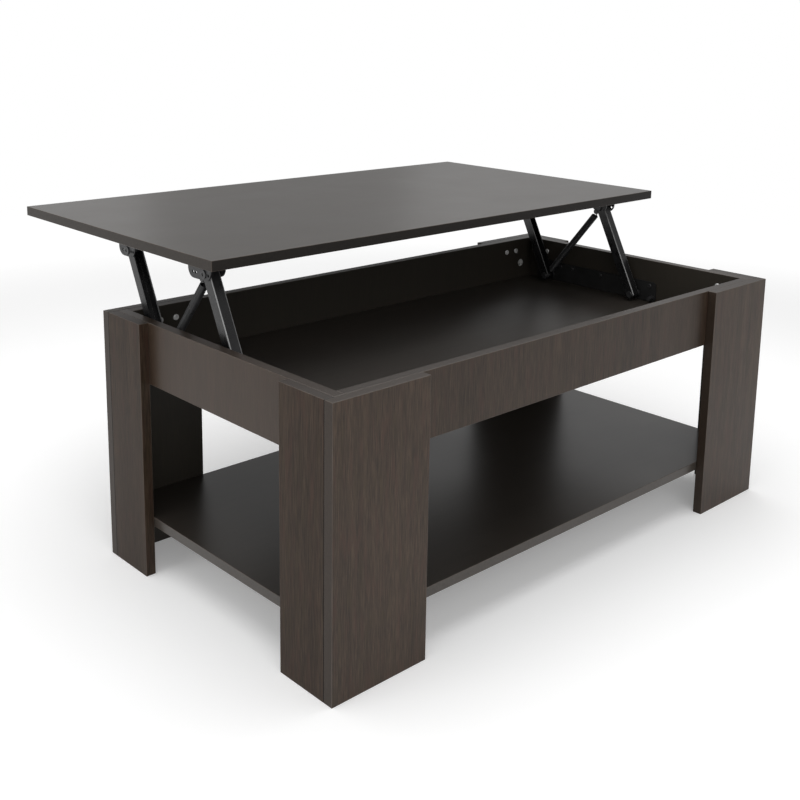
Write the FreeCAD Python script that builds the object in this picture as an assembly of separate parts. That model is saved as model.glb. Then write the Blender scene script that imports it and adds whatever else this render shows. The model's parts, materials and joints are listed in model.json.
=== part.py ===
import FreeCAD, Part
import math
import os

os.makedirs("parts", exist_ok=True)

# A lift top coffee table with its lid raised on its stops, in millimetres.
# The origin is the centre of the footprint, on the floor. +X runs along the length, +Z is up,
# and +Y points to the side over which the lid swings, where a person sits.
# The left end is at -X, the front long side at -Y.

# Carcass
length = 1000.0
depth = 550.0
body_height = 400.0
leg_board = 16.0
leg_wide = 163.0
leg_narrow = 90.0
apron_height = 95.0
panel = 15.0
shelf_top = 93.0
edge_round = 0.8

# Lid and lift
lid_gap = 1.0
lid_rise = 112.0
lid_travel = 250.0
arm_lean = math.radians(26.5)
pivot_below_lid = 22.0
arm_spacing = 210.0
front_top_pivot_y = 51.0

# Carcass hardware
play = 0.05
nearly = 1e-6
screw_radius = 2.0
screw_head_radius = 5.0
screw_head_height = 2.2
screw_length = 28.0
dome_share = 0.6
recess_share = 0.22
recess_depth = 1.0
tip_radius = 0.4
cam_radius = 7.5
cam_depth = 12.0
cam_proud = 0.4
cam_inset = 32.0
cam_slot_share = 1.2
bolt_radius = 2.5
bolt_depth = 11.0
bolt_head = 3.0
bolt_head_radius = 3.0
bolt_neck_radius = 1.8
bolt_collar = 14.0
dowel_radius = 4.0
dowel_in_panel = 10.0
dowel_in_end_grain = 20.0
dowel_chamfer = 0.8
screws_from_end = (80.0, 108.0)
end_screw_from_side = 76.0
screw_drop = 23.0
cam_drop = 50.0
dowel_drops = (12.0, 76.0)
leg_dowel_heights = (60.0, 200.0, 340.0)
floor_bolts_on_end = 160.0
floor_bolts_on_side = 300.0
shelf_bolts_on_end = 215.0
shelf_bolts_on_side = 410.0

# Lift hardware, whose widths are counted inwards from the inner face of the end panel
sheet = 2.0
plate_front_y = -70.0
plate_back_y = 222.0
plate_low_z = 321.0
plate_high_z = 359.0
plate_corner = 8.0
plate_screw_z = 351.0
plate_screws_y = (-56.0, 10.0, 60.0, 130.0, 160.0)
pin_radius = 4.0
pin_play = 0.06
pin_shoulder = 8.0
pin_shoulder_radius = 7.0
pin_head_radius = 6.5
pin_head = 2.2
pin_let_in = 1.5
arm_gap = 0.3
arm_width = 18.0
arm_half_height = 8.75
arm_bend = 2.0
lug_radius = 5.0
ear_offset = 4.5
ear_drop = 31.0
ear_corner = 14.0
inner_ear_gap = 1.5
inner_ear_drop = 28.0
strip_drop = 12.0
front_ear = (33.0, 90.0)
front_inner_ear = (33.0, 70.0)
rear_ear = (238.0, 285.0)
spare_holes = (39.0, 70.2, 77.2, 243.0, 249.0, 272.5)
spare_hole_radius = 2.2
rail_screws_y = (41.0, 100.0, 148.0, 196.0, 230.0)
rail_screw_length = 12.0
rail_screw_head_radius = 4.0
rail_screw_head_height = 1.8
rail_screw_radius = 1.75
rivet_head = 1.5
rivet_dimple_radius = 2.4
rivet_dimple = 0.8
stop_radius = 4.0
stop_length = 14.0
stop_collar = 2.0
stop_collar_radius = 5.2
open_stop_along = 24.0
closed_stop_along = 32.0

# Spring
spring_radius = 6.5
wire_radius = 0.9
spring_pin_radius = 2.5
spring_pin_head = 1.0
spring_pin_head_radius = 4.0
spring_pin_along = 4.0
spring_pin_aside = 13.0
hook_play = 0.3
lower_hook_length = 15.0
upper_hook_length = 13.0

# Worked out from the above
half_length = length / 2
half_depth = depth / 2
box_x = half_length - leg_board
box_y = half_depth - leg_board
inner_x = box_x - leg_board
inner_y = box_y - leg_board
apron_low = body_height - apron_height
lid_low = body_height + lid_gap + lid_rise
reach = lid_travel * math.sin(arm_lean) + lid_rise * math.cos(arm_lean)
arm_length = (lid_travel ** 2 + lid_rise ** 2) / (2 * reach)
top_pivot_z = lid_low - pivot_below_lid
base_pivot_z = top_pivot_z - arm_length * math.cos(arm_lean)
rear_top_pivot_y = front_top_pivot_y + arm_spacing
front_base_pivot_y = front_top_pivot_y - arm_length * math.sin(arm_lean)
rear_base_pivot_y = front_base_pivot_y + arm_spacing
closed_lean = math.atan2(arm_length * math.sin(arm_lean) - lid_travel,
                         arm_length * math.cos(arm_lean) - lid_rise)
arm_outer = pin_shoulder + arm_gap
arm_inner = arm_outer + arm_width
spring_offset = arm_outer + arm_width / 2
head_offset = arm_inner + arm_gap
inner_ear_offset = arm_inner + inner_ear_gap
rail_inner = inner_ear_offset + sheet


def vector(x, y, z):
    return FreeCAD.Vector(x, y, z)


def block(x, y, z):
    """A box between two places along each axis."""
    return Part.makeBox(x[1] - x[0], y[1] - y[0], z[1] - z[0], vector(x[0], y[0], z[0]))


def rod(start, direction, height, radius):
    return Part.makeCylinder(radius, height, vector(*start), vector(*direction))


def eased(board):
    return board.makeFillet(edge_round, board.Edges)


def end_x(inwards):
    """The x of a place counted inwards from the left end panel's inner face."""
    return inwards - inner_x


def across(inwards, thick, y, z, radius):
    """A rod along X at the left end, from one place inwards to another."""
    return rod((end_x(inwards), y, z), (1, 0, 0), thick, radius)


def in_x(shape):
    return shape.mirror(vector(0, 0, 0), vector(1, 0, 0))


def in_y(shape):
    return shape.mirror(vector(0, 0, 0), vector(0, 1, 0))


def both_ends(shapes):
    return shapes + [in_x(s) for s in shapes]


def four_corners(shapes):
    near = both_ends(shapes)
    return near + [in_y(s) for s in near]


def save(name, shapes):
    group = shapes[0] if len(shapes) == 1 else Part.makeCompound(shapes)
    group.exportStep(f"parts/{name}.step")


def save_ends(name, shapes):
    save(f"{name}_left", shapes)
    save(f"{name}_right", [in_x(s) for s in shapes])


# Each fastener is a start, a direction and its own sizes, so that the screw and its hole agree.

def screw(start, direction, shank, radius, head_radius, head_height):
    """A pan head screw whose head sits on the surface at start, with a cross recess."""
    way = vector(*direction)
    seat = vector(*start)
    head = rod(seat - way * head_height, direction, head_height, head_radius)
    outer = [e for e in head.Edges if abs((e.CenterOfMass - seat).dot(way) + head_height) < nearly]
    head = head.makeFillet(head_height * dome_share, outer)
    body = head.fuse(rod(seat, direction, shank - radius, radius))
    tip = Part.makeCone(radius, tip_radius, radius, seat + way * (shank - radius), way)
    return body.fuse(tip).cut(cross_recess(seat - way * head_height, way, head_radius)).removeSplitter()


def cross_recess(place, way, reach_across):
    """Two crossed bars that a driver's blade leaves in a screw head or a cam's face."""
    half = reach_across / 2
    thin = half * recess_share
    bars = [block((-half, half), (-thin, thin), (-recess_depth, recess_depth)),
            block((-thin, thin), (-half, half), (-recess_depth, recess_depth))]
    recess = Part.makeCompound(bars)
    recess.Placement = FreeCAD.Placement(place, FreeCAD.Rotation(vector(0, 0, 1), way))
    return recess


def apron_screw(start, direction):
    return screw(start, direction, screw_length, screw_radius, screw_head_radius, screw_head_height)


def screw_hole(start, direction, shank=screw_length, radius=screw_radius):
    return rod(start, direction, shank + play, radius + play)


def cam_lock(face, inwards, towards):
    """A cam disc let into a face, with a slot towards the bolt that it pulls."""
    way = vector(*inwards)
    seat = vector(*face)
    disc = rod(seat - way * cam_proud, inwards, cam_depth + cam_proud, cam_radius - play)
    channel = rod(seat + way * panel / 2, towards, cam_radius + 1, bolt_radius + 1)
    return disc.cut(channel).cut(cross_recess(seat - way * cam_proud, way, cam_radius * cam_slot_share))


def cam_hole(face, inwards):
    return rod(face, inwards, cam_depth + play, cam_radius)


def cam_bolt(joint, outwards):
    """A bolt screwed into the panel at the joint, whose headed neck reaches into the cam."""
    way = vector(*outwards)
    seat = vector(*joint)
    inner = seat - way * cam_inset
    head = rod(inner, outwards, bolt_head, bolt_head_radius)
    neck = rod(inner, outwards, cam_inset, bolt_neck_radius)
    collar = rod(seat - way * bolt_collar, outwards, bolt_collar, bolt_radius)
    thread = rod(seat, outwards, bolt_depth, bolt_radius)
    return head.fuse([neck, collar, thread]).removeSplitter()


def bolt_holes(joint, outwards):
    way = vector(*outwards)
    seat = vector(*joint)
    return rod(seat - way * cam_inset, outwards, cam_inset + bolt_depth + play, bolt_head_radius + play)


def dowel(joint, into_panel):
    way = vector(*into_panel)
    start = vector(*joint) - way * dowel_in_end_grain
    whole = rod(start, into_panel, dowel_in_end_grain + dowel_in_panel, dowel_radius)
    rims = [e for e in whole.Edges if e.Closed and abs(e.Curve.Radius - dowel_radius) < nearly]
    return whole.makeChamfer(dowel_chamfer, rims)


def dowel_hole(joint, into_panel):
    way = vector(*into_panel)
    start = vector(*joint) - way * (dowel_in_end_grain + play)
    return rod(start, into_panel, dowel_in_end_grain + dowel_in_panel + 2 * play, dowel_radius + play)


# Where the fasteners of the front left corner go: a start and a direction each.
apron_screws = [((from_end - half_length, -inner_y, body_height - screw_drop), (0, -1, 0))
                for from_end in screws_from_end]
apron_screws.append(((-inner_x, end_screw_from_side - half_depth, body_height - screw_drop), (-1, 0, 0)))
apron_cam = ((cam_inset - inner_x, -inner_y, body_height - cam_drop), (0, -1, 0), (-1, 0, 0))
apron_bolt = ((-inner_x, -inner_y - panel / 2, body_height - cam_drop), (-1, 0, 0))
apron_dowels = [((-inner_x, -(box_y + inner_y) / 2, body_height - drop), (-1, 0, 0))
                for drop in dowel_drops]
leg_dowels = [((leg_board / 2 - half_length, -box_y, height), (0, -1, 0))
              for height in leg_dowel_heights]
floor_middle_z = apron_low + panel / 2
shelf_low = shelf_top - panel
shelf_middle_z = shelf_low + panel / 2
floor_bolts = [((-inner_x, -floor_bolts_on_end, floor_middle_z), (-1, 0, 0)),
               ((-floor_bolts_on_side, -inner_y, floor_middle_z), (0, -1, 0))]
shelf_bolts = [((-box_x, -shelf_bolts_on_end, shelf_middle_z), (-1, 0, 0)),
               ((-shelf_bolts_on_side, -box_y, shelf_middle_z), (0, -1, 0))]


def cam_under(bolt, low_z):
    """The cam let into the underside of a level panel, for a bolt at its edge."""
    (x, y, _), (way_x, way_y, _) = bolt
    return (x - way_x * cam_inset, y - way_y * cam_inset, low_z), (0, 0, 1), (way_x, way_y, 0)


def corner_cuts():
    """Every hole that the carcass fasteners need, at all four corners."""
    cuts = [screw_hole(*place) for place in apron_screws]
    cuts += [cam_hole(apron_cam[0], apron_cam[1]), bolt_holes(*apron_bolt)]
    cuts += [dowel_hole(*place) for place in apron_dowels + leg_dowels]
    for bolts, low_z in ((floor_bolts, apron_low), (shelf_bolts, shelf_low)):
        cuts += [bolt_holes(*bolt) for bolt in bolts]
        cuts += [cam_hole(*cam_under(bolt, low_z)[:2]) for bolt in bolts]
    return four_corners(cuts)


def make_legs(cuts):
    """Each leg is a wide board on the long side, with a narrow one behind its edge on the end."""
    wide = eased(block((-half_length, leg_wide - half_length), (-half_depth, -box_y), (0, body_height)))
    narrow = eased(block((-half_length, -box_x), (-box_y, leg_narrow - box_y), (0, body_height)))
    for name, board in (("wide", wide.cut(cuts)), ("narrow", narrow.cut(cuts))):
        save(f"leg_front_left_{name}", [board])
        save(f"leg_front_right_{name}", [in_x(board)])
        save(f"leg_back_left_{name}", [in_y(board)])
        save(f"leg_back_right_{name}", [in_x(in_y(board))])


def make_box(cuts):
    """The storage box: two aprons between two end panels, a floor let in flush below, a shelf."""
    apron = eased(block((-inner_x, inner_x), (-box_y, -inner_y), (apron_low, body_height)))
    end = eased(block((-box_x, -inner_x), (-box_y, box_y), (apron_low, body_height)))
    end = end.cut(Part.makeCompound(plate_holes()))
    floor = eased(block((-inner_x, inner_x), (-inner_y, inner_y), (apron_low, apron_low + panel)))
    shelf = eased(block((-box_x, box_x), (-box_y, box_y), (shelf_low, shelf_top)))
    save("apron_front", [apron.cut(cuts)])
    save("apron_back", [in_y(apron.cut(cuts))])
    save_ends("end_panel", [end.cut(cuts)])
    save("compartment_floor", [floor.cut(cuts)])
    save("shelf", [shelf.cut(cuts)])


def make_carcass_hardware():
    save("leg_screws", four_corners([apron_screw(*place) for place in apron_screws]))
    save("leg_dowels", four_corners([dowel(*place) for place in leg_dowels]))
    save("apron_dowels", four_corners([dowel(*place) for place in apron_dowels]))
    save("apron_cam_locks", four_corners([cam_lock(*apron_cam)]))
    save("apron_cam_bolts", four_corners([cam_bolt(*apron_bolt)]))
    for name, bolts, low_z in (("floor", floor_bolts, apron_low), ("shelf", shelf_bolts, shelf_low)):
        save(f"{name}_cam_locks", four_corners([cam_lock(*cam_under(bolt, low_z)) for bolt in bolts]))
        save(f"{name}_cam_bolts", four_corners([cam_bolt(*bolt) for bolt in bolts]))


# The lift. Places below are for the left end, and the right end mirrors it.

def plate_screw_places():
    return [((end_x(sheet), y, plate_screw_z), (-1, 0, 0)) for y in plate_screws_y]


def plate_holes():
    """The holes in an end panel for its plate's screws and the riveted ends of the base pivot pins."""
    holes = [screw_hole(start, way, rail_screw_length, rail_screw_radius)
             for start, way in plate_screw_places()]
    return holes + [screw_hole((end_x(0), y, base_pivot_z), (-1, 0, 0), pin_let_in, pin_radius)
                    for y in (front_base_pivot_y, rear_base_pivot_y)]


def small_screw(start, direction):
    return screw(start, direction, rail_screw_length, rail_screw_radius,
                 rail_screw_head_radius, rail_screw_head_height)


def stop_places():
    """Two fixed pins: one that the open rear arm leans on, one under the closed front arm."""
    aside = arm_half_height + stop_radius + arm_gap
    rear_y = rear_base_pivot_y + open_stop_along * math.sin(arm_lean) + aside * math.cos(arm_lean)
    rear_z = base_pivot_z + open_stop_along * math.cos(arm_lean) - aside * math.sin(arm_lean)
    front_y = front_base_pivot_y + closed_stop_along * math.sin(closed_lean) - aside * math.cos(closed_lean)
    front_z = base_pivot_z + closed_stop_along * math.cos(closed_lean) + aside * math.sin(closed_lean)
    return [(rear_y, rear_z), (front_y, front_z)]


def make_base():
    plate = block((end_x(0), end_x(sheet)), (plate_front_y, plate_back_y), (plate_low_z, plate_high_z))
    plate = plate.makeFillet(plate_corner, [e for e in plate.Edges if abs(e.Length - sheet) < nearly])
    pivots = [(front_base_pivot_y, base_pivot_z), (rear_base_pivot_y, base_pivot_z)]
    for y, z in pivots + stop_places():
        plate = plate.cut(across(0, sheet, y, z, pin_radius + play))
    plate = plate.cut(Part.makeCompound([screw_hole(start, way, sheet, rail_screw_radius)
                                         for start, way in plate_screw_places()]))
    save_ends("base_plate", [plate])
    save("base_plate_screws", both_ends([small_screw(*place) for place in plate_screw_places()]))
    save_ends("base_pivot_pins", [base_pin(y, z) for y, z in pivots])
    save_ends("stop_pins", [stop_pin(y, z) for y, z in stop_places()])


def base_pin(y, z):
    """A pin riveted in the plate, with a shoulder that spaces the arm off it and a domed head."""
    shank = across(0, head_offset, y, z, pin_radius)
    shoulder = across(sheet, pin_shoulder - sheet, y, z, pin_shoulder_radius)
    return shank.fuse([shoulder, domed_head(head_offset, pin_head, y, z)]).removeSplitter()


def domed_head(inwards, thick, y, z):
    head = across(inwards, thick, y, z, pin_head_radius)
    rim = [e for e in head.Edges if abs(e.CenterOfMass.x - end_x(inwards + thick)) < nearly]
    return head.makeFillet(thick * dome_share, rim)


def stop_pin(y, z):
    collar = across(sheet, stop_collar, y, z, stop_collar_radius)
    return across(0, stop_length, y, z, stop_radius).fuse(collar).removeSplitter()


def arm_place(pivot_y, pivot_z, along, aside):
    """A place counted up the raised arm from a pivot, and to its +Y side."""
    y = pivot_y + along * math.sin(arm_lean) + aside * math.cos(arm_lean)
    z = pivot_z + along * math.cos(arm_lean) - aside * math.sin(arm_lean)
    return y, z


def channel_arm(base_y, web_side, extras):
    """A pressed channel with round ends, made upright at the origin and then leant and moved to its
    base pivot. web_side is +1 where its back is on the +Y side. Extras join its two sides."""
    rim = arm_half_height
    outer = block((end_x(arm_outer), end_x(arm_inner)), (-rim, rim), (-rim, arm_length + rim))
    web = [e for e in outer.Edges if e.Length > arm_length and e.CenterOfMass.y * web_side > 0]
    outer = outer.makeFillet(arm_bend, web)
    hollow_x = (end_x(arm_outer + sheet), end_x(arm_inner - sheet))
    hollow_y = (-rim - 1, rim - sheet) if web_side > 0 else (sheet - rim, rim + 1)
    hollow = block(hollow_x, hollow_y, (-rim - 1, arm_length + rim + 1))
    stadium = block((end_x(arm_outer), end_x(arm_inner)), (-rim, rim), (0, arm_length))
    stadium = stadium.fuse([across(arm_outer, arm_width, 0, height, rim) for height in (0, arm_length)])
    arm = outer.cut(hollow).common(stadium.removeSplitter())
    if extras:
        arm = arm.fuse(extras)
    for height in (0, arm_length):
        arm = arm.cut(across(arm_outer - 1, arm_width + 2, 0, height, pin_radius + pin_play))
    arm.rotate(vector(0, 0, 0), vector(1, 0, 0), -math.degrees(arm_lean))
    arm.translate(vector(0, base_y, base_pivot_z))
    return arm.removeSplitter()


def spring_lugs():
    """A round-ended lug on each side of the upright front arm, for the spring's pin."""
    height = arm_length - spring_pin_along
    lugs = []
    for inwards in (arm_outer, arm_inner - sheet):
        side_x = (end_x(inwards), end_x(inwards + sheet))
        lugs.append(block(side_x, (0, spring_pin_aside), (height - lug_radius, height + lug_radius)))
        lugs.append(across(inwards, sheet, spring_pin_aside, height, lug_radius))
    return lugs


def spring_pin_place():
    return arm_place(front_top_pivot_y, top_pivot_z, -spring_pin_along, spring_pin_aside)


def make_arms():
    spring_y, spring_z = spring_pin_place()
    front = channel_arm(front_base_pivot_y, -1, spring_lugs())
    front = front.cut(across(arm_outer - 1, arm_width + 2, spring_y, spring_z, spring_pin_radius + play))
    heads = [across(inwards, spring_pin_head, spring_y, spring_z, spring_pin_head_radius)
             for inwards in (arm_outer - spring_pin_head, arm_inner)]
    pin = across(arm_outer, arm_width, spring_y, spring_z, spring_pin_radius).fuse(heads)
    save_ends("front_arm", [front])
    save_ends("rear_arm", [channel_arm(rear_base_pivot_y, 1, [])])
    save_ends("spring_pin", [pin.removeSplitter()])


def ear(inwards, reach_y, drop):
    low = lid_low - drop
    plate = block((end_x(inwards), end_x(inwards + sheet)), reach_y, (low, lid_low))
    corners = [e for e in plate.Edges if abs(e.Length - sheet) < nearly and e.CenterOfMass.z < low + nearly]
    return plate.makeFillet(ear_corner, corners)


def make_lid_rails():
    """A strip under each end of the lid, with two outer ears and an inner one for the arms' pivots."""
    ends_y = (front_ear[0], rear_ear[1])
    upright = block((end_x(ear_offset), end_x(ear_offset + sheet)), ends_y, (lid_low - strip_drop, lid_low))
    flange = block((end_x(ear_offset), end_x(rail_inner)), ends_y, (lid_low - sheet, lid_low))
    ears = [ear(ear_offset, front_ear, ear_drop), ear(ear_offset, rear_ear, ear_drop),
            ear(inner_ear_offset, front_inner_ear, inner_ear_drop)]
    rail = upright.fuse([flange] + ears).removeSplitter()
    rail = rail.cut(across(ear_offset - 1, rail_inner, front_top_pivot_y, top_pivot_z, pin_radius + play))
    rail = rail.cut(across(ear_offset - 1, sheet + 2, rear_top_pivot_y, top_pivot_z, pin_radius + play))
    for y in spare_holes:
        rail = rail.cut(across(ear_offset - 1, sheet + 2, y, top_pivot_z, spare_hole_radius))
    save_ends("lid_rail", [rail.cut(Part.makeCompound(rail_screw_holes()))])
    save("lid_rail_screws", both_ends([small_screw(*place) for place in rail_screw_places()]))
    pins = [top_pin(front_top_pivot_y, rail_inner), top_pin(rear_top_pivot_y, head_offset)]
    save_ends("top_pivot_pins", pins)


def rail_screw_places():
    x = end_x((ear_offset + rail_inner) / 2)
    return [((x, y, lid_low - sheet), (0, 0, 1)) for y in rail_screws_y]


def rail_screw_holes():
    return [screw_hole(start, way, rail_screw_length, rail_screw_radius)
            for start, way in rail_screw_places()]


def top_pin(y, inner_end):
    """A pin through the rail's outer ear and both sides of an arm. It has a dimpled rivet head at the
    outer end and a domed one at the inner end."""
    outer_end = ear_offset - rivet_head
    shank = across(ear_offset, inner_end - ear_offset, y, top_pivot_z, pin_radius)
    outer_head = across(outer_end, rivet_head, y, top_pivot_z, pin_head_radius)
    dimple = across(outer_end, rivet_dimple, y, top_pivot_z, rivet_dimple_radius)
    inner_head = domed_head(inner_end, pin_head, y, top_pivot_z)
    return shank.fuse([outer_head, inner_head]).removeSplitter().cut(dimple)


def make_lid():
    lid = eased(block((-half_length, half_length), (lid_travel - half_depth, lid_travel + half_depth),
                      (lid_low, lid_low + panel)))
    save("lid_panel", [lid.cut(Part.makeCompound(both_ends(rail_screw_holes())))])


def hook(y, z, pin, way, length_to_coil):
    """A wire ring round a pin, with a straight tail along the spring to where its coils start."""
    ring_radius = pin + hook_play + wire_radius
    centre = vector(end_x(spring_offset), y, z)
    ring = Part.makeTorus(ring_radius, wire_radius, centre, vector(1, 0, 0))
    start = centre + way * ring_radius
    tail = Part.makeCylinder(wire_radius, length_to_coil - ring_radius, start, way)
    return ring.fuse(tail).removeSplitter()


def make_springs():
    """A close-wound tension spring from the rear base pivot to the front arm's spring pin."""
    top_y, top_z = spring_pin_place()
    span = vector(0, top_y - rear_base_pivot_y, top_z - base_pivot_z)
    way = span.normalize()
    total = math.hypot(top_y - rear_base_pivot_y, top_z - base_pivot_z)
    base = vector(end_x(spring_offset), rear_base_pivot_y, base_pivot_z)
    coil_length = total - lower_hook_length - upper_hook_length
    coil_start = base + way * lower_hook_length
    coil = Part.makeCylinder(spring_radius, coil_length, coil_start, way)
    coil = coil.cut(Part.makeCylinder(spring_radius - 2 * wire_radius, coil_length, coil_start, way))
    back = vector(0, -way.y, -way.z)
    lower = hook(rear_base_pivot_y, base_pivot_z, pin_radius, way, lower_hook_length)
    upper = hook(top_y, top_z, spring_pin_radius, back, upper_hook_length)
    save_ends("spring_coil", [coil])
    save_ends("spring_lower_hook", [lower])
    save_ends("spring_upper_hook", [upper])


all_cuts = Part.makeCompound(corner_cuts())
make_legs(all_cuts)
make_box(all_cuts)
make_carcass_hardware()
make_base()
make_arms()
make_lid_rails()
make_lid()
make_springs()
print(f"arm length {arm_length:.2f}, swing {math.degrees(arm_lean - closed_lean):.2f} degrees")
print(f"base pivots y {front_base_pivot_y:.3f} and {rear_base_pivot_y:.3f}, z {base_pivot_z:.3f}")
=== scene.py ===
import json
import math

import bpy
from mathutils import Matrix, Vector


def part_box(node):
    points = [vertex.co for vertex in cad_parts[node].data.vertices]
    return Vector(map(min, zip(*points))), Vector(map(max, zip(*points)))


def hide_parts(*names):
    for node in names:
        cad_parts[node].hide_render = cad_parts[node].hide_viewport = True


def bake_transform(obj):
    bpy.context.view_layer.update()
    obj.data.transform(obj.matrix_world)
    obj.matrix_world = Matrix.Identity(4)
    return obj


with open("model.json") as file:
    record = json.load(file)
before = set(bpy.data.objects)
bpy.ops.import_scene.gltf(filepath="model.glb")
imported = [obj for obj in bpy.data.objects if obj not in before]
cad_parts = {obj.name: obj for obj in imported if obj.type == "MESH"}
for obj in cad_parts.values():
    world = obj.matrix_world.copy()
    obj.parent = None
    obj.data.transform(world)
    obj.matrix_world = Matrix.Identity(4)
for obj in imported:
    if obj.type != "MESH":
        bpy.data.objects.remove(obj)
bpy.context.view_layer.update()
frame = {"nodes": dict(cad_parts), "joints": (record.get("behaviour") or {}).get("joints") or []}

nodes = frame["nodes"]
joints = {joint["name"]: joint for joint in frame["joints"]}
ENDS = ("left", "right")
ALONG_X = (1.0, 0.0, 0.0)
ALONG_Y = (0.0, 1.0, 0.0)

# Camera: where it stands, how it is turned in degrees, its lens, and how far its view is shifted down
CAMERA_PLACE = Vector((-1.2895, -1.2273, 0.8423))
CAMERA_AZIMUTH = -43.19
CAMERA_TILT_DOWN = 11.26
CAMERA_ROLL = 0.87
CAMERA_LENS = 49.73
CAMERA_SENSOR = 36.0
CAMERA_SHIFT_DOWN = 0.20
CAMERA_REACH = 60.0

# Studio: the floor's size, its own glow near the table, how far from the table it starts and ends fading
# to plain white, and the world's strength as light
FLOOR_SIZE = 28.0
FLOOR_GLOW = 0.20
FLOOR_FADE = (1.1, 3.4)
WORLD_LIGHT = 0.45

# Tension springs, in metres: the wire, its coils, and the pins that its hooks sit on
WIRE_RADIUS = 0.0009
WIRE_PITCH = 0.00184
COIL_RADIUS = 0.0056
BASE_PIN_RADIUS = 0.004
SPRING_PIN_RADIUS = 0.0025
HOOK_PLAY = 0.0003

# How each hook winds round its pin, in degrees from the spring's line, and how finely the wire is drawn
LOWER_HOOK_TURN = (50, 360)
UPPER_HOOK_TURN = (180, -130)
LOWER_HOOK_STEPS = 40
UPPER_HOOK_STEPS = 36
NECK_STEPS = 10
STEPS_PER_TURN = 16
WIRE_SIDES = 8

# Board decor, as linear colours
ESPRESSO = (0.0385, 0.0252, 0.0168)
SEMI_GLOSS = (0.0300, 0.0255, 0.0215)
LID_GLOSS = (0.0370, 0.0315, 0.0270)
# Painted shade for faces that look towards the table's middle
INNER_PAINTED_SHADE = (0.0290, 0.0270, 0.0220)
# Light lines on rounded edges: partly wear, partly painted highlight
WORN_EDGE_AND_HIGHLIGHT = (0.095, 0.078, 0.066)
# Painted shade in the groove where two leg boards meet
SEAM_PAINTED_SHADE = (0.004, 0.003, 0.0025)

# How fine the decor's patterns are, in cells per metre: across the grain and along it
STREAKS = (560.0, 30.0)
BROAD_STREAKS = (75.0, 3.0)
PORES = (1300.0, 75.0)
HUES = (120.0, 15.0)

# The same for patterns that don't follow the grain: along X, Y and Z
CLOUDS = (9.0, 9.0, 7.0)
WEAR_AND_HIGHLIGHT_SPOTS = (60.0, 60.0, 14.0)
BAND_SPECKLE = 240.0
ORANGE_PEEL = 900.0

# Streaks: the noise at which they are darkest, middling and lightest, how far the darkest and the lightest
# lie from a board's middle colour, and how much of the pattern is fine streaks and not broad ones
STREAK_STOPS = (0.38, 0.50, 0.64)
DARK_STREAK = 0.42
LIGHT_STREAK = 0.60
FINE_SHARE = 0.72

# Tones of the decor's other details, as shares of a board's middle colour
PORE_TONE = 0.38
RED_TINT = (1.38, 1.02, 1.10)
OLIVE_TINT = (1.00, 1.06, 0.78)
CLOUD_TONE = 1.45
BAND_SPREAD = 0.14

# The two noise values between which each detail fades in or out, and how strong it gets. The light lines
# on the rounded edges, partly wear and partly painted highlight, are never quite gone, so they have a
# weakest and a strongest.
PORE_FADE = (0.60, 0.72)
RED_FADE = (0.50, 0.68)
OLIVE_FADE = (0.32, 0.46)
CLOUD_FADE = (0.35, 0.75)
WEAR_AND_HIGHLIGHT_FADE = (0.25, 0.65)
PORE_STRENGTH = 0.40
RED_STRENGTH = 0.42
OLIVE_STRENGTH = 0.36
CLOUD_STRENGTH = 0.18
WEAR_AND_HIGHLIGHT_STRENGTH = (0.40, 0.90)

# How far the hue patches are taken from the streaks, in metres, so that the two don't run together
HUE_OFFSET = 3.7

# Relief of the decor: its depths in metres, its strength, and how high streaks stand next to pores
GRAIN_RELIEF = 0.00010
PEEL_RELIEF = 0.00004
RELIEF_STRENGTH = 0.30
STREAK_HEIGHT = 0.6

# How much the streaks and the clouds change a board's roughness
STREAK_ROUGHNESS = 0.10
CLOUD_ROUGHNESS = 0.06

# Where in the decor's pattern each board is cut, in metres, and the step from one like board to the next
LEG_CUT = (0.0, 0.0, 0.0)
LEG_STEP = (0.37, 0.53, 0.21)
APRON_CUT = (5.0, 2.0, 0.0)
END_PANEL_CUT = (7.0, 4.0, 0.0)
PAIR_STEP = (0.61, 0.0, 0.3)
FLOOR_CUT = (8.1, 1.0, 0.0)
SHELF_CUT = (9.4, 3.0, 0.0)
LID_CUT = (11.7, 4.0, 0.0)

# Tones and sheens of single boards. The tones of the narrow leg boards, of the wide leg boards' edges that
# look along X and of the rims that look up or down are shares below 1: painted shade against the light on
# them.
STRONG_GRAIN = 1.15
NARROW_LEG_SHADED_TONE = 0.82
LEG_TONE_STEP = 0.03
LEG_EDGE_SHADED_TONE = 0.66
RIM_SHADED_TONE = 0.68
RIM_SHEEN = 0.70

# The line where the two boards of a leg meet, in metres from the table's middle
SEAM_Y = 0.259
SEAM_HALF_WIDTH = 0.0012

# A surface is a rounded edge where its largest share along any axis is under the first value, and flat over
# the second. A face looks along an axis, or up or down, where its share along it is over the second value.
EDGE_FACING = (0.97, 0.999)
BAND_FACING = (0.6, 0.8)
TOP_FACING = (0.6, 0.9)

# A face looks fully towards the table's middle where its facing times its place, in metres, is under the
# first value, and not at all over the second. The last value below is how strongly painted shade then
# darkens such a face.
INNER_SHADE_REACH = (-0.12, -0.06)
INNER_SHADE_SHARE = 0.80

# The channel arms: how far from the middle their inner sides end, the way that a raised rear arm's open
# side faces, and the greys put on the folds and on the cut edges as painted highlights
ARM_INNER_RIM = 0.4438
ARM_OPEN_SIDE = (0.0, -0.895, 0.446)
FOLD_PAINTED_HIGHLIGHT = (0.30, 0.30, 0.30)
CUT_EDGE_PAINTED_HIGHLIGHT = (0.16, 0.16, 0.16)


# Node helpers

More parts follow.
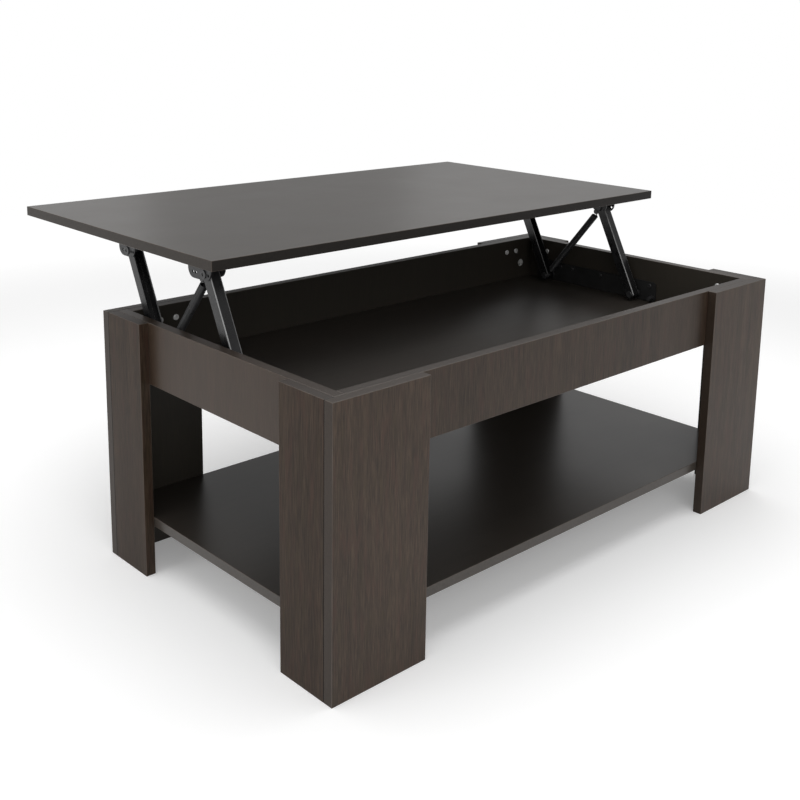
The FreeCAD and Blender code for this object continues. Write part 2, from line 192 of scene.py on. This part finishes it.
class Graph:
    """Builds one material's node tree with short calls."""

    def __init__(self, name):
        self.material = bpy.data.materials.new(name)
        self.material.use_nodes = True
        self.tree = self.material.node_tree
        self.shader = self.tree.nodes["Principled BSDF"]
        self.coords = self.node("ShaderNodeTexCoord").outputs["Object"]
        self.facing = self.node("ShaderNodeNewGeometry").outputs["True Normal"]

    def node(self, kind, **values):
        made = self.tree.nodes.new(kind)
        for key, value in values.items():
            setattr(made, key, value)
        return made

    def put(self, socket, value):
        if isinstance(value, bpy.types.NodeSocket):
            self.tree.links.new(value, socket)
        else:
            socket.default_value = value

    def math(self, operation, a, b=0.0):
        made = self.node("ShaderNodeMath", operation=operation)
        self.put(made.inputs[0], a)
        self.put(made.inputs[1], b)
        return made.outputs[0]

    def vector(self, operation, a, b=(0.0, 0.0, 0.0)):
        made = self.node("ShaderNodeVectorMath", operation=operation)
        self.put(made.inputs[0], a)
        self.put(made.inputs[1], b)
        single = operation in ("DOT_PRODUCT", "LENGTH")
        return made.outputs["Value" if single else "Vector"]

    def split(self, vector):
        """The X, Y and Z of a vector, by name."""
        made = self.node("ShaderNodeSeparateXYZ")
        self.put(made.inputs[0], vector)
        return made.outputs

    def noise(self, cells, offset=(0.0, 0.0, 0.0), detail=3.0, roughness=0.55, distortion=0.0):
        """Noise with so many cells per metre along X, Y and Z, or one number for all three."""
        each = cells if isinstance(cells, tuple) else (cells, cells, cells)
        moved = self.vector("ADD", self.coords, offset)
        made = self.node("ShaderNodeTexNoise")
        made.inputs["Scale"].default_value = 1.0
        made.inputs["Detail"].default_value = detail
        made.inputs["Roughness"].default_value = roughness
        made.inputs["Distortion"].default_value = distortion
        self.put(made.inputs["Vector"], self.vector("MULTIPLY", moved, each))
        return made.outputs["Fac"]

    def ramp(self, value, stops):
        made = self.node("ShaderNodeValToRGB")
        elements = made.color_ramp.elements
        while len(elements) < len(stops):
            elements.new(0.5)
        for element, (place, colour) in zip(elements, stops):
            element.position = place
            element.color = (*colour, 1.0)
        self.put(made.inputs["Fac"], value)
        return made.outputs["Color"]

    def span(self, value, low, high, out_low=0.0, out_high=1.0):
        """Goes smoothly from out_low to out_high while value goes from low to high."""
        made = self.node("ShaderNodeMapRange", interpolation_type="SMOOTHSTEP")
        made.inputs["From Min"].default_value = low
        made.inputs["From Max"].default_value = high
        made.inputs["To Min"].default_value = out_low
        made.inputs["To Max"].default_value = out_high
        self.put(made.inputs["Value"], value)
        return made.outputs["Result"]

    def mix(self, factor, a, b):
        made = self.node("ShaderNodeMix", data_type="RGBA")
        self.put(made.inputs["Factor"], factor)
        for key, colour in (("A", a), ("B", b)):
            socket = [s for s in made.inputs if s.name == key and s.type == "RGBA"][0]
            self.put(socket, (*colour, 1.0) if isinstance(colour, tuple) else colour)
        return [s for s in made.outputs if s.type == "RGBA"][0]

    def bump(self, height, distance, strength, after=None):
        made = self.node("ShaderNodeBump")
        made.inputs["Strength"].default_value = strength
        made.inputs["Distance"].default_value = distance
        self.put(made.inputs["Height"], height)
        if after is not None:
            self.put(made.inputs["Normal"], after)
        return made.outputs["Normal"]

    def edge_mask(self):
        """How far the surface faces along each axis, and a mask: 1 on a rounded edge, 0 on a flat face."""
        parts = self.split(self.vector("ABSOLUTE", self.facing))
        most = self.math("MAXIMUM", self.math("MAXIMUM", parts["X"], parts["Y"]), parts["Z"])
        return parts, self.span(most, *EDGE_FACING, 1.0, 0.0)

    def set(self, **values):
        for key, value in values.items():
            self.put(self.shader.inputs[key.replace("_", " ")], value)


def scaled_colour(colour, share):
    return tuple(c * share for c in colour)


def tinted(colour, tint):
    return tuple(c * t for c, t in zip(colour, tint))


# Board material

def along_grain(cells, grain_axis):
    """Cells along X, Y and Z, from how many there are across the grain and along it."""
    across, along = cells
    return tuple(along if axis == grain_axis else across for axis in "xyz")


def grain(g, offset, grain_axis, middle, contrast):
    """The decor: fine short streaks, dark pores, red and olive patches, and broad light clouds.

    Gives its colour, and its streaks, clouds and pores for the roughness and the relief."""
    streaks = g.noise(along_grain(STREAKS, grain_axis), offset, detail=4.0, roughness=0.62)
    pores = g.noise(along_grain(PORES, grain_axis), offset, detail=2.0, roughness=0.5)
    broad = g.noise(along_grain(BROAD_STREAKS, grain_axis), offset, roughness=0.5, distortion=0.2)
    clouds = g.noise(CLOUDS, offset, detail=2.0)
    hue = g.noise(along_grain(HUES, grain_axis), tuple(v + HUE_OFFSET for v in offset))
    both = g.math("ADD", g.math("MULTIPLY", streaks, FINE_SHARE),
                  g.math("MULTIPLY", broad, 1.0 - FINE_SHARE))
    dark = scaled_colour(middle, 1.0 - DARK_STREAK * contrast)
    light = scaled_colour(middle, 1.0 + LIGHT_STREAK * contrast)
    colour = g.ramp(both, list(zip(STREAK_STOPS, (dark, middle, light))))
    pore_mask = g.span(pores, *PORE_FADE, 0.0, PORE_STRENGTH * contrast)
    red_mask = g.span(hue, *RED_FADE, 0.0, RED_STRENGTH * contrast)
    olive_mask = g.span(hue, *OLIVE_FADE, OLIVE_STRENGTH * contrast, 0.0)
    cloud_mask = g.span(clouds, *CLOUD_FADE, 0.0, CLOUD_STRENGTH)
    colour = g.mix(pore_mask, colour, scaled_colour(middle, PORE_TONE))
    colour = g.mix(red_mask, colour, tinted(middle, RED_TINT))
    colour = g.mix(olive_mask, colour, tinted(middle, OLIVE_TINT))
    colour = g.mix(cloud_mask, colour, scaled_colour(middle, CLOUD_TONE))
    return colour, streaks, clouds, pore_mask


def paint_shade_on_inner_faces(g, colour, painted_shade_axes):
    """Paints shade on the faces that look towards the table's middle along the marked axes, darkening them.
    """
    towards = g.vector("DOT_PRODUCT", g.vector("MULTIPLY", g.facing, painted_shade_axes), g.coords)
    return g.mix(g.span(towards, *INNER_SHADE_REACH, INNER_SHADE_SHARE, 0.0), colour, INNER_PAINTED_SHADE)


def band_edges(g, colour, parts, middle, band_tones_and_shade, offset):
    """Covers the faces along each given axis with an edge band of its tone. The tones differ by the way a
    face looks, so they paint light and shade onto the edge bands on top of their own colour.
    """
    speckle = g.noise(BAND_SPECKLE, offset)
    for axis, tone in band_tones_and_shade.items():
        band = g.ramp(speckle, [(0.3, scaled_colour(middle, tone * (1.0 - BAND_SPREAD))),
                                (0.7, scaled_colour(middle, tone * (1.0 + BAND_SPREAD)))])
        colour = g.mix(g.span(parts[axis], *BAND_FACING), colour, band)
    return colour


def wear_and_highlight_edges(g, colour, edges, offset):
    """Thin light lines on the rounded edges, stronger in some places: partly wear, partly painted
    highlight.
    """
    wear_and_highlight_noise = g.noise(WEAR_AND_HIGHLIGHT_SPOTS, offset, detail=2.0)
    return g.mix(g.math("MULTIPLY", edges, g.span(wear_and_highlight_noise, *WEAR_AND_HIGHLIGHT_FADE, *WEAR_AND_HIGHLIGHT_STRENGTH)), colour, WORN_EDGE_AND_HIGHLIGHT)


def paint_seam_shade(g, colour, edges):
    """Painted shade in the groove where the two boards of a leg meet."""
    across = g.math("ABSOLUTE", g.split(g.coords)["Y"])
    away = g.math("ABSOLUTE", g.math("SUBTRACT", across, SEAM_Y))
    near = g.span(away, 0.7 * SEAM_HALF_WIDTH, SEAM_HALF_WIDTH, 1.0, 0.0)
    return g.mix(g.math("MULTIPLY", near, edges), colour, SEAM_PAINTED_SHADE)


def espresso_board(name, offset, grain_axis, middle, contrast, roughness=0.42, sheen=0.25, band_tones_and_shade=None,
                   painted_shade_axes=None, painted_seam_shade=False, top_sheen=None):
    """Melamine-faced board with fine short streaks along its grain and thin light lines on its corners,
    which are partly wear and partly painted highlight.

    The edge bands get a tone for each axis that they face, which paints light and shade onto them on top
    of their own colour. Faces that look towards the table's middle along the marked axes get painted shade.
    A seam flag paints shade into the groove where two leg boards meet. top_sheen is the sheen of the faces
    that look up or down, where it differs."""
    g = Graph(name)
    colour, streaks, clouds, pores = grain(g, offset, grain_axis, middle, contrast)
    parts, edges = g.edge_mask()
    # Painted shade on faces that look towards the table's middle
    if painted_shade_axes:
        colour = paint_shade_on_inner_faces(g, colour, painted_shade_axes)
    # Edge bands whose tones by facing hold painted light and shade
    if band_tones_and_shade:
        colour = band_edges(g, colour, parts, middle, band_tones_and_shade, offset)
    # Light edge lines, partly wear and partly painted highlight
    colour = wear_and_highlight_edges(g, colour, edges, offset)
    # Painted shade in the groove of the seam
    if painted_seam_shade:
        colour = paint_seam_shade(g, colour, edges)
    skin = g.bump(g.noise(ORANGE_PEEL, offset, detail=1.0), PEEL_RELIEF, RELIEF_STRENGTH)
    height = g.math("SUBTRACT", g.math("MULTIPLY", streaks, STREAK_HEIGHT), pores)
    change = g.math("ADD", g.math("MULTIPLY", streaks, STREAK_ROUGHNESS * contrast),
                    g.math("MULTIPLY", clouds, CLOUD_ROUGHNESS))
    usual_change = (STREAK_ROUGHNESS + CLOUD_ROUGHNESS) / 2
    g.set(Base_Color=colour, Roughness=g.math("ADD", change, roughness - usual_change),
          Normal=g.bump(height, GRAIN_RELIEF, RELIEF_STRENGTH * contrast, skin))
    if top_sheen:
        g.set(Specular_IOR_Level=g.span(parts["Z"], *TOP_FACING, sheen, top_sheen))
    else:
        g.set(Specular_IOR_Level=sheen)
    return g.material


# Hardware materials

def powder_coat(name, colour, roughness, fold_highlight=0.0, rim_highlights=False):
    """Fine textured black coat. It can paint a highlight in grey on the rounded folds along the part, as
    strongly as the given share, and a painted highlight on the cut edges along a channel's open side."""
    g = Graph(name)
    grit = g.noise(2600.0, detail=2.0)
    patches = g.noise(55.0)
    base = g.ramp(patches, [(0.3, scaled_colour(colour, 0.75)), (0.7, scaled_colour(colour, 1.5))])
    base = g.mix(g.span(grit, 0.62, 0.76, 0.0, 0.25), base, scaled_colour(colour, 3.5))
    # Painted highlight on the rounded folds
    if fold_highlight:
        parts, _ = g.edge_mask()
        rise = g.span(parts["X"], 0.10, 0.35)
        fall = g.span(parts["X"], 0.80, 0.97, fold_highlight, 0.0)
        base = g.mix(g.math("MULTIPLY", rise, fall), base, FOLD_PAINTED_HIGHLIGHT)
    # Painted highlight on the cut edges of the channel's open side
    if rim_highlights:
        sideways = g.math("ABSOLUTE", g.split(g.coords)["X"])
        inner_side = g.span(sideways, ARM_INNER_RIM, ARM_INNER_RIM + 0.0001, 1.0, 0.0)
        open_side = g.span(g.vector("DOT_PRODUCT", g.facing, ARM_OPEN_SIDE), 0.8, 0.95, 0.0, 0.9)
        base = g.mix(g.math("MULTIPLY", inner_side, open_side), base, CUT_EDGE_PAINTED_HIGHLIGHT)
    g.set(Base_Color=base, Roughness=g.span(patches, 0.3, 0.7, roughness - 0.05, roughness + 0.08),
          Normal=g.bump(grit, 0.00006, 0.35), IOR=1.5)
    return g.material


def plated(name, colour, roughness, metal, grit_cells=1800.0):
    """Bright zinc with a fine grit, thin dulled patches and small scratches."""
    g = Graph(name)
    grit = g.noise(grit_cells, roughness=0.6)
    dull = g.noise(160.0)
    scratches = g.noise((5200.0, 400.0, 400.0), detail=1.0)
    tone = g.ramp(dull, [(0.25, scaled_colour(colour, 0.78)), (0.65, colour)])
    g.set(Base_Color=tone, Roughness=g.span(dull, 0.3, 0.75, roughness + 0.12, roughness - 0.03),
          Normal=g.bump(g.math("ADD", grit, scratches), 0.00002, 0.35), Metallic=metal)
    return g.material


def beech():
    """Plain turned dowel wood with fine dark flecks."""
    g = Graph("beech_dowel")
    rings = g.noise((220.0, 220.0, 30.0), detail=4.0)
    flecks = g.noise((1400.0, 1400.0, 240.0), detail=1.0)
    tone = g.ramp(rings, [(0.3, (0.42, 0.27, 0.14)), (0.7, (0.62, 0.45, 0.27))])
    tone = g.mix(g.span(flecks, 0.62, 0.72, 0.0, 0.5), tone, (0.28, 0.16, 0.08))
    g.set(Base_Color=tone, Roughness=g.span(rings, 0.2, 0.8, 0.55, 0.75), Normal=g.bump(rings, 0.0002, 0.3))
    return g.material


# Dressing the CAD nodes

def dress(node, material):
    slots = nodes[node].data.materials
    slots.clear()
    slots.append(material)


def cut_place(first, step, i):
    """Where in the decor's pattern the i-th of some like boards is cut, so that no two match."""
    return tuple(start + i * move for start, move in zip(first, step))


def dress_legs():
    legs = sorted(n for n in nodes if n.startswith("leg_") and n.endswith(("wide", "narrow")))
    for i, node in enumerate(legs):
        wide = node.endswith("wide")
        # The narrow leg boards are toned darker: painted shade.
        tone = (1.0 if wide else NARROW_LEG_SHADED_TONE) + LEG_TONE_STEP * (i % 3 - 1)
        dress(node, espresso_board(
            f"espresso_{node}", cut_place(LEG_CUT, LEG_STEP, i), "z", scaled_colour(ESPRESSO, tone),
            contrast=STRONG_GRAIN, sheen=0.25 if wide else 0.12, painted_seam_shade=True, top_sheen=RIM_SHEEN,
            band_tones_and_shade={"X": LEG_EDGE_SHADED_TONE, "Z": RIM_SHADED_TONE} if wide else {"Z": RIM_SHADED_TONE},
            painted_shade_axes=ALONG_Y if wide else ALONG_X))


def dress_box_sides():
    for i, node in enumerate(("apron_front", "apron_back")):
        dress(node, espresso_board(
            f"espresso_{node}", cut_place(APRON_CUT, PAIR_STEP, i), "z", scaled_colour(ESPRESSO, 0.86),
            contrast=STRONG_GRAIN, band_tones_and_shade={"Z": RIM_SHADED_TONE}, painted_shade_axes=ALONG_Y, top_sheen=RIM_SHEEN))
    for i, node in enumerate(("end_panel_left", "end_panel_right")):
        dress(node, espresso_board(
            f"espresso_{node}", cut_place(END_PANEL_CUT, PAIR_STEP, i), "z", scaled_colour(ESPRESSO, 0.98),
            contrast=0.45, band_tones_and_shade={"Z": RIM_SHADED_TONE}, painted_shade_axes=ALONG_X, top_sheen=RIM_SHEEN))


def dress_level_boards():
    dress("compartment_floor", espresso_board(
        "espresso_compartment_floor", FLOOR_CUT, "x", SEMI_GLOSS, contrast=0.40))
    dress("shelf", espresso_board(
        "espresso_shelf", SHELF_CUT, "x", scaled_colour(SEMI_GLOSS, 0.85), contrast=0.30, roughness=0.34,
        sheen=0.36, band_tones_and_shade={"X": 1.8, "Y": 1.9}))
    # The lid's edge bands that look along Y are toned far darker than those along X: painted shade.
    dress("lid_panel", espresso_board(
        "espresso_lid_panel", LID_CUT, "x", LID_GLOSS, contrast=0.30, roughness=0.36, sheen=0.11,
        top_sheen=0.45, band_tones_and_shade={"X": 0.95, "Y": 0.42}))


def dress_hardware():
    arm_black = powder_coat("black_powder_coat", (0.0075, 0.0075, 0.008), 0.28, fold_highlight=0.85, rim_highlights=True)
    rail_black = powder_coat("black_powder_coat_rail", (0.014, 0.014, 0.0145), 0.40)
    plate_black = powder_coat("black_powder_coat_plate", (0.006, 0.006, 0.006), 0.55)
    black_pin = powder_coat("black_fastener", (0.020, 0.020, 0.021), 0.32)
    zinc = plated("zinc_screw", (0.95, 0.95, 0.94), 0.16, metal=0.45)
    cast = plated("zinc_cam", (0.88, 0.88, 0.86), 0.26, metal=0.6, grit_cells=900.0)
    wood = beech()
    for node in nodes:
        if node.endswith("dowels"):
            dress(node, wood)
        elif "cam_locks" in node:
            dress(node, cast)
        elif node == "leg_screws" or "cam_bolts" in node:
            dress(node, zinc)
        elif "screws" in node or "_pin" in node:
            dress(node, black_pin)
        elif node.startswith("base_plate"):
            dress(node, plate_black)
        elif node.startswith("lid_rail"):
            dress(node, rail_black)
        elif node.startswith(("front_arm", "rear_arm", "spring_")):
            dress(node, arm_black)


# Springs

def sweep(name, points, radius, sides):
    """A round wire along a list of close points, as one smooth closed mesh."""
    count = len(points)
    tangents = [(points[min(i + 1, count - 1)] - points[max(i - 1, 0)]).normalized() for i in range(count)]
    normal = tangents[0].orthogonal().normalized()
    verts = []
    for point, tangent in zip(points, tangents):
        normal = (normal - tangent * normal.dot(tangent)).normalized()
        side = tangent.cross(normal)
        for k in range(sides):
            turn = 2 * math.pi * k / sides
            verts.append(point + (normal * math.cos(turn) + side * math.sin(turn)) * radius)
    faces = []
    for i in range(count - 1):
        for k in range(sides):
            a, b = i * sides + k, i * sides + (k + 1) % sides
            faces.append((a, b, b + sides, a + sides))
    faces.append(tuple(reversed(range(sides))))
    faces.append(tuple((count - 1) * sides + k for k in range(sides)))
    mesh = bpy.data.meshes.new(name)
    mesh.from_pydata(verts, [], faces)
    mesh.polygons.foreach_set("use_smooth", [len(f) == 4 for f in faces])
    mesh.update()
    made = bpy.data.objects.new(name, mesh)
    bpy.context.scene.collection.objects.link(made)
    return made


def neck(a, b, way):
    """Points strictly between a and b on a smooth curve that leaves a and arrives at b along way."""
    places = []
    lean = way * (b - a).length
    for i in range(1, NECK_STEPS):
        t = i / NECK_STEPS
        places.append(a * (2 * t ** 3 - 3 * t ** 2 + 1) + lean * (t ** 3 - 2 * t ** 2 + t)
                      + b * (3 * t ** 2 - 2 * t ** 3) + lean * (t ** 3 - t ** 2))
    return places


def ring(centre, first, second, radius, turn, steps):
    """Points on a circle from the first angle of turn to the second, in degrees."""
    start, stop = turn
    places = []
    for i in range(steps + 1):
        angle = math.radians(start + (stop - start) * i / steps)
        places.append(centre + (first * math.cos(angle) + second * math.sin(angle)) * radius)
    return places


def coil(start, along, aside, across, length):
    """Points on close turns round the spring's line, which begin and end on the side that across gives."""
    steps = round(length / WIRE_PITCH) * STEPS_PER_TURN
    places = []
    for i in range(steps + 1):
        angle = 2 * math.pi * i / STEPS_PER_TURN
        place = start + along * (length * i / steps)
        places.append(place + (across * math.cos(angle) + aside * math.sin(angle)) * COIL_RADIUS)
    return places


def coil_ends(end, along):
    """Where the coils start and finish: the ends of the CAD tube, which lies in the plane of Y and Z."""
    low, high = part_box(f"spring_coil_{end}")
    tube_radius = COIL_RADIUS + WIRE_RADIUS
    length = (high.z - low.z - 2 * tube_radius * abs(along.y)) / abs(along.z)
    middle = (low + high) / 2
    return middle - along * length / 2, middle + along * length / 2, length


def make_spring(end):
    """A close-wound tension spring: a hook on the rear base pin, coils, a hook on the front arm's pin."""
    bottom = Vector(joints[f"spring_{end}_pivot"]["pos_m"])
    pin_low, pin_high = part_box(f"spring_pin_{end}")
    top = (pin_low + pin_high) / 2
    top.x = bottom.x
    along = Vector(joints[f"spring_{end}_stretch"]["axis"]).normalized()
    across = Vector(ALONG_X)
    aside = along.cross(across)
    start, finish, length = coil_ends(end, along)
    hook_gap = HOOK_PLAY + WIRE_RADIUS
    lower = ring(bottom, along, aside, BASE_PIN_RADIUS + hook_gap, LOWER_HOOK_TURN, LOWER_HOOK_STEPS)
    coils = coil(start, along, aside, across, length)
    upper = ring(top, along, aside, SPRING_PIN_RADIUS + hook_gap, UPPER_HOOK_TURN, UPPER_HOOK_STEPS)
    points = lower + neck(lower[-1], coils[0], aside) + coils + neck(coils[-1], upper[0], aside) + upper
    spring = sweep(f"tension_spring_{end}", points, WIRE_RADIUS, WIRE_SIDES)
    spring.data.materials.append(powder_coat(f"spring_steel_{end}", (0.016, 0.016, 0.017), 0.30))
    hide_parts(f"spring_coil_{end}", f"spring_lower_hook_{end}", f"spring_upper_hook_{end}")
    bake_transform(spring)


# Stage

def camera_turn():
    yaw = Matrix.Rotation(math.radians(CAMERA_AZIMUTH), 3, "Z")
    pitch = Matrix.Rotation(math.radians(90 - CAMERA_TILT_DOWN), 3, "X")
    roll = Matrix.Rotation(math.radians(CAMERA_ROLL), 3, "Z")
    return (yaw @ pitch @ roll).to_quaternion()


def make_camera():
    data = bpy.data.cameras.new("camera")
    data.lens = CAMERA_LENS
    data.sensor_width = CAMERA_SENSOR
    data.shift_y = -CAMERA_SHIFT_DOWN
    data.clip_end = CAMERA_REACH
    camera = bpy.data.objects.new("camera", data)
    camera.location = CAMERA_PLACE
    camera.rotation_mode = "QUATERNION"
    camera.rotation_quaternion = camera_turn()
    bpy.context.scene.collection.objects.link(camera)
    bpy.context.scene.camera = camera


def make_floor():
    """A pale floor that fades to plain white away from the table, so that it has no horizon."""
    mesh = bpy.data.meshes.new("floor")
    half = FLOOR_SIZE / 2
    corners = [(-half, -half, 0), (half, -half, 0), (half, half, 0), (-half, half, 0)]
    mesh.from_pydata(corners, [], [(0, 1, 2, 3)])
    floor = bpy.data.objects.new("floor", mesh)
    bpy.context.scene.collection.objects.link(floor)
    g = Graph("pale_floor")
    fade = g.span(g.vector("LENGTH", g.coords), *FLOOR_FADE)
    near = g.ramp(g.noise(0.8, detail=1.0), [(0.3, (0.88, 0.88, 0.88)), (0.7, (0.91, 0.91, 0.91))])
    g.set(Base_Color=g.mix(fade, near, (0.0, 0.0, 0.0)), Roughness=0.95, Specular_IOR_Level=0.0,
          Emission_Color=(1.0, 1.0, 1.0, 1.0), Emission_Strength=g.span(fade, 0.0, 1.0, FLOOR_GLOW, 1.0))
    mesh.materials.append(g.material)


def make_world():
    """White where the camera sees it, and dimmer in what it lights and in reflections."""
    world = bpy.data.worlds.new("studio")
    world.use_nodes = True
    bpy.context.scene.world = world
    tree = world.node_tree
    path = tree.nodes.new("ShaderNodeLightPath")
    seen = tree.nodes.new("ShaderNodeMapRange")
    seen.inputs["To Min"].default_value = WORLD_LIGHT
    seen.inputs["To Max"].default_value = 1.0
    tree.links.new(path.outputs["Is Camera Ray"], seen.inputs["Value"])
    tree.links.new(seen.outputs["Result"], tree.nodes["Background"].inputs["Strength"])
    tree.nodes["Background"].inputs["Color"].default_value = (1.0, 1.0, 1.0, 1.0)


def softbox(name, place, target, size, power):
    """A rectangular light that the camera doesn't see. Its power is in watts."""
    data = bpy.data.lights.new(name, "AREA")
    data.shape = "RECTANGLE"
    data.size, data.size_y = size
    data.energy = power
    light = bpy.data.objects.new(name, data)
    light.location = place
    light.rotation_mode = "QUATERNION"
    light.rotation_quaternion = (Vector(target) - Vector(place)).to_track_quat("-Z", "Y")
    light.visible_camera = False
    bpy.context.scene.collection.objects.link(light)


def make_lights():
    softbox("key", (-1.6, -2.9, 1.9), (0, 0, 0.25), (2.4, 1.6), 26.0)
    softbox("side", (-3.1, 0.3, 1.4), (0, 0, 0.25), (1.8, 1.4), 18.0)
    softbox("overhead", (0.0, 0.2, 3.0), (0, 0.1, 0), (4.0, 3.2), 62.0)
    softbox("back_right", (2.8, 2.0, 1.45), (0.4, 0.1, 0.45), (1.5, 0.8), 1.7)
    softbox("back_left", (0.6, 3.2, 1.45), (-0.4, 0.4, 0.5), (1.2, 0.8), 1.7)


def make_look():
    """Shows the colours as they are, with no film-like contrast."""
    settings = bpy.context.scene.view_settings
    settings.view_transform = "Standard"
    settings.look = "None"


make_camera()
dress_legs()
dress_box_sides()
dress_level_boards()
dress_hardware()
for end in ENDS:
    make_spring(end)
make_floor()
make_world()
make_lights()
make_look()
